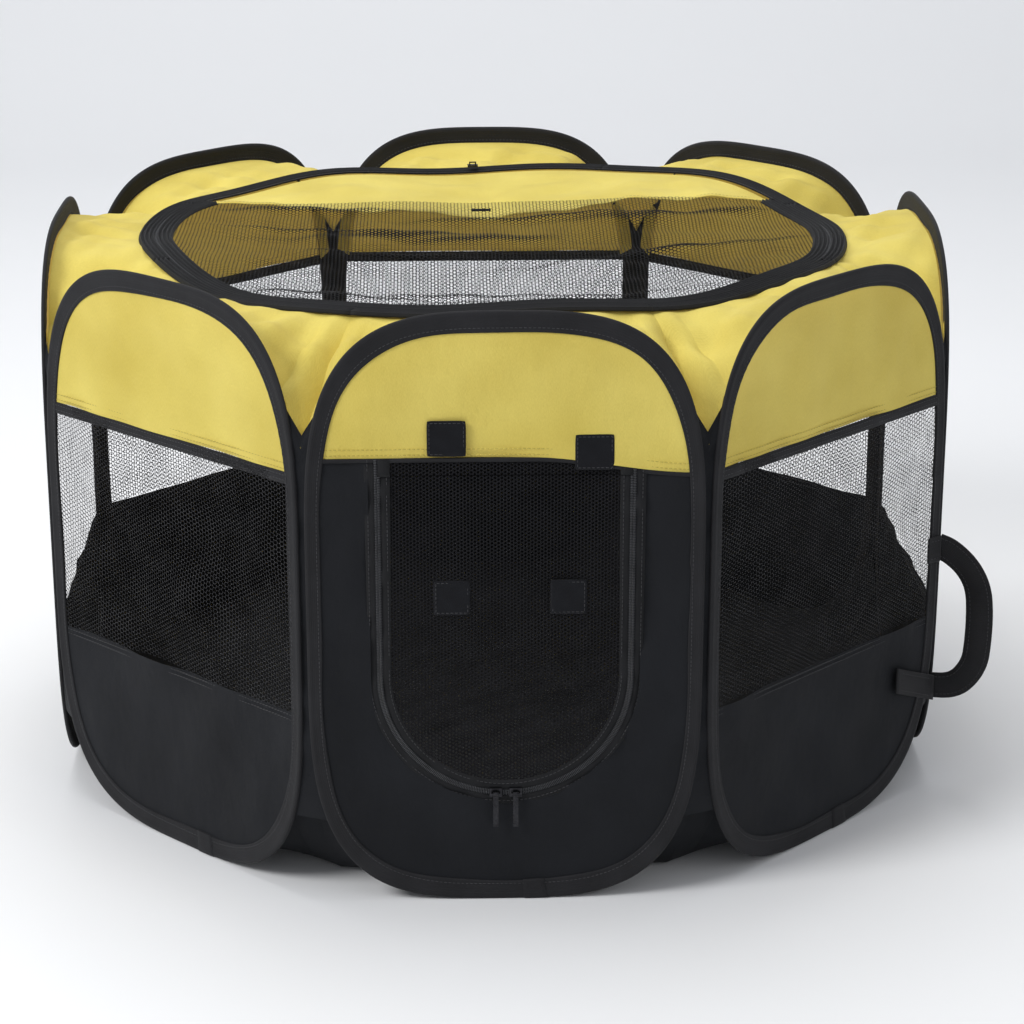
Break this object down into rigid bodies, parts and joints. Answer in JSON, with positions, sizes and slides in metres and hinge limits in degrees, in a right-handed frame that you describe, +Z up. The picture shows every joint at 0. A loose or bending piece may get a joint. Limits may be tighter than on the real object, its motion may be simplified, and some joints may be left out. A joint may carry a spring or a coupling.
{
  "type": "pet playpen",
  "caption": "Pop-up octagonal pet playpen of sprung hoop panels with mesh walls, a zip-off mesh lid, a zipped flap door, a cloth floor and a carry strap.",
  "frame": {"origin": "on the ground at the centre of the octagon", "axes": "+Z up, the door panel faces -Y, +X to the door panel's right"},
  "size_m": [0.9722, 0.9248, 0.585],
  "materials": {
    "yellow_cloth": "plain-woven polyester, matt",
    "black_cloth": "coated oxford polyester, matt",
    "black_mesh": "open knitted mesh",
    "black_binding": "folded binding tape",
    "zip_tape": "woven zip tape with coil teeth",
    "hook_tape": "hook-and-loop tape",
    "webbing": "ribbed webbing",
    "spring_steel": "bare spring wire",
    "dark_metal": "dark satin"
  },
  "bodies": {
    "base": {"floor": "black_cloth", "roof": "yellow_cloth", "roof_zip_outer": "zip_tape", "lid_back_panel": "yellow_cloth", "lid_keeper_tab": "hook_tape"},
    "panel_front": {"hoop_front": "spring_steel", "binding_front": "black_binding", "upper_front": "yellow_cloth", "lower_front": "black_cloth", "door_zip_outer": "zip_tape", "roll_tab_left": "hook_tape", "roll_tab_right": "hook_tape"},
    "panel_front_right": {"hoop_front_right": "spring_steel", "binding_front_right": "black_binding", "upper_front_right": "yellow_cloth", "window_front_right": "black_mesh", "lower_front_right": "black_cloth"},
    "panel_right": {"hoop_right": "spring_steel", "binding_right": "black_binding", "upper_right": "yellow_cloth", "window_right": "black_mesh", "lower_right": "black_cloth"},
    "panel_back_right": {"hoop_back_right": "spring_steel", "binding_back_right": "black_binding", "upper_back_right": "yellow_cloth", "window_back_right": "black_mesh", "lower_back_right": "black_cloth"},
    "panel_back": {"hoop_back": "spring_steel", "binding_back": "black_binding", "upper_back": "yellow_cloth", "window_back": "black_mesh", "lower_back": "black_cloth"},
    "panel_back_left": {"hoop_back_left": "spring_steel", "binding_back_left": "black_binding", "upper_back_left": "yellow_cloth", "window_back_left": "black_mesh", "lower_back_left": "black_cloth"},
    "panel_left": {"hoop_left": "spring_steel", "binding_left": "black_binding", "upper_left": "yellow_cloth", "window_left": "black_mesh", "lower_left": "black_cloth"},
    "panel_front_left": {"hoop_front_left": "spring_steel", "binding_front_left": "black_binding", "upper_front_left": "yellow_cloth", "window_front_left": "black_mesh", "lower_front_left": "black_cloth"},
    "door": {"door_mesh": "black_mesh", "door_zip_inner": "zip_tape", "door_patch_left": "hook_tape", "door_patch_right": "hook_tape"},
    "door_slider_left": {"door_slider_left": "dark_metal"},
    "door_pull_left": {"door_pull_left": "dark_metal"},
    "door_slider_right": {"door_slider_right": "dark_metal"},
    "door_pull_right": {"door_pull_right": "dark_metal"},
    "lid": {"lid_mesh": "black_mesh", "lid_zip_inner": "zip_tape"},
    "lid_slider": {"lid_slider": "dark_metal"},
    "carry_strap": {"carry_strap": "webbing"}
  },
  "joints": [
    {"name": "fold", "type": "hinge", "parent": "base", "child": "panel_front", "pos_m": [-0.23435, -0.39179, 0.2925], "axis": [0, 0, -1], "range_deg": [-62.5, 0], "deforming": ["floor", "roof", "roof_zip_outer", "lid_back_panel", "lid_keeper_tab", "lid_mesh", "lid_zip_inner"]},
    {"name": "corner_front_to_front_right", "type": "hinge", "parent": "panel_front", "child": "panel_front_right", "pos_m": [0.1893, -0.457, 0.2925], "axis": [0, 0, 1], "range_deg": [-125, 0]},
    {"name": "corner_front_right_to_right", "type": "hinge", "parent": "panel_front_right", "child": "panel_right", "pos_m": [0.4546, -0.1883, 0.2925], "axis": [0, 0, -1], "range_deg": [-125, 0]},
    {"name": "corner_right_to_back_right", "type": "hinge", "parent": "panel_right", "child": "panel_back_right", "pos_m": [0.457, 0.1893, 0.2925], "axis": [0, 0, 1], "range_deg": [-125, 0]},
    {"name": "corner_back_right_to_back", "type": "hinge", "parent": "panel_back_right", "child": "panel_back", "pos_m": [0.1883, 0.4546, 0.2925], "axis": [0, 0, -1], "range_deg": [-125, 0]},
    {"name": "corner_front_to_front_left", "type": "hinge", "parent": "panel_front", "child": "panel_front_left", "pos_m": [-0.1883, -0.4546, 0.2925], "axis": [0, 0, 1], "range_deg": [-125, 0]},
    {"name": "corner_front_left_to_left", "type": "hinge", "parent": "panel_front_left", "child": "panel_left", "pos_m": [-0.457, -0.1893, 0.2925], "axis": [0, 0, -1], "range_deg": [-125, 0]},
    {"name": "corner_left_to_back_left", "type": "hinge", "parent": "panel_left", "child": "panel_back_left", "pos_m": [-0.4546, 0.1883, 0.2925], "axis": [0, 0, 1], "range_deg": [-125, 0]},
    {"name": "door_flap", "type": "hinge", "parent": "panel_front", "child": "door", "pos_m": [0, -0.4578, 0.43], "axis": [-1, 0, 0], "range_deg": [0, 150]},
    {"name": "door_slider_left_travel", "type": "hinge", "parent": "door", "child": "door_slider_left", "pos_m": [0, -0.4578, 0.23], "axis": [0, 1, 0], "range_deg": [0, 85]},
    {"name": "door_pull_left_swing", "type": "hinge", "parent": "door_slider_left", "child": "door_pull_left", "pos_m": [-0.00949, -0.4632, 0.11238], "axis": [-1, 0, 0], "range_deg": [0, 150]},
    {"name": "door_slider_right_travel", "type": "hinge", "parent": "door", "child": "door_slider_right", "pos_m": [0, -0.4578, 0.23], "axis": [0, -1, 0], "range_deg": [0, 85]},
    {"name": "door_pull_right_swing", "type": "hinge", "parent": "door_slider_right", "child": "door_pull_right", "pos_m": [0.00949, -0.4632, 0.11238], "axis": [-1, 0, 0], "range_deg": [0, 150]},
    {"name": "lid_flap", "type": "hinge", "parent": "base", "child": "lid", "pos_m": [0, 0.16, 0.5558], "axis": [-1, 0, 0], "range_deg": [0, 160]},
    {"name": "lid_slider_travel", "type": "hinge", "parent": "base", "child": "lid_slider", "pos_m": [0, 0, 0.555], "axis": [0, 0, 1], "range_deg": [0, 350]},
    {"name": "strap_swing", "type": "hinge", "parent": "panel_front_right", "child": "carry_strap", "pos_m": [0.457, -0.1893, 0.185], "axis": [0, 0, 1], "range_deg": [-60, 60]}
  ],
  "couplings": [
    {"joint": "corner_front_to_front_right", "follows": "fold", "ratio": 2},
    {"joint": "corner_front_right_to_right", "follows": "fold", "ratio": 2},
    {"joint": "corner_right_to_back_right", "follows": "fold", "ratio": 2},
    {"joint": "corner_back_right_to_back", "follows": "fold", "ratio": 2},
    {"joint": "corner_front_to_front_left", "follows": "fold", "ratio": 2},
    {"joint": "corner_front_left_to_left", "follows": "fold", "ratio": 2},
    {"joint": "corner_left_to_back_left", "follows": "fold", "ratio": 2}
  ]
}
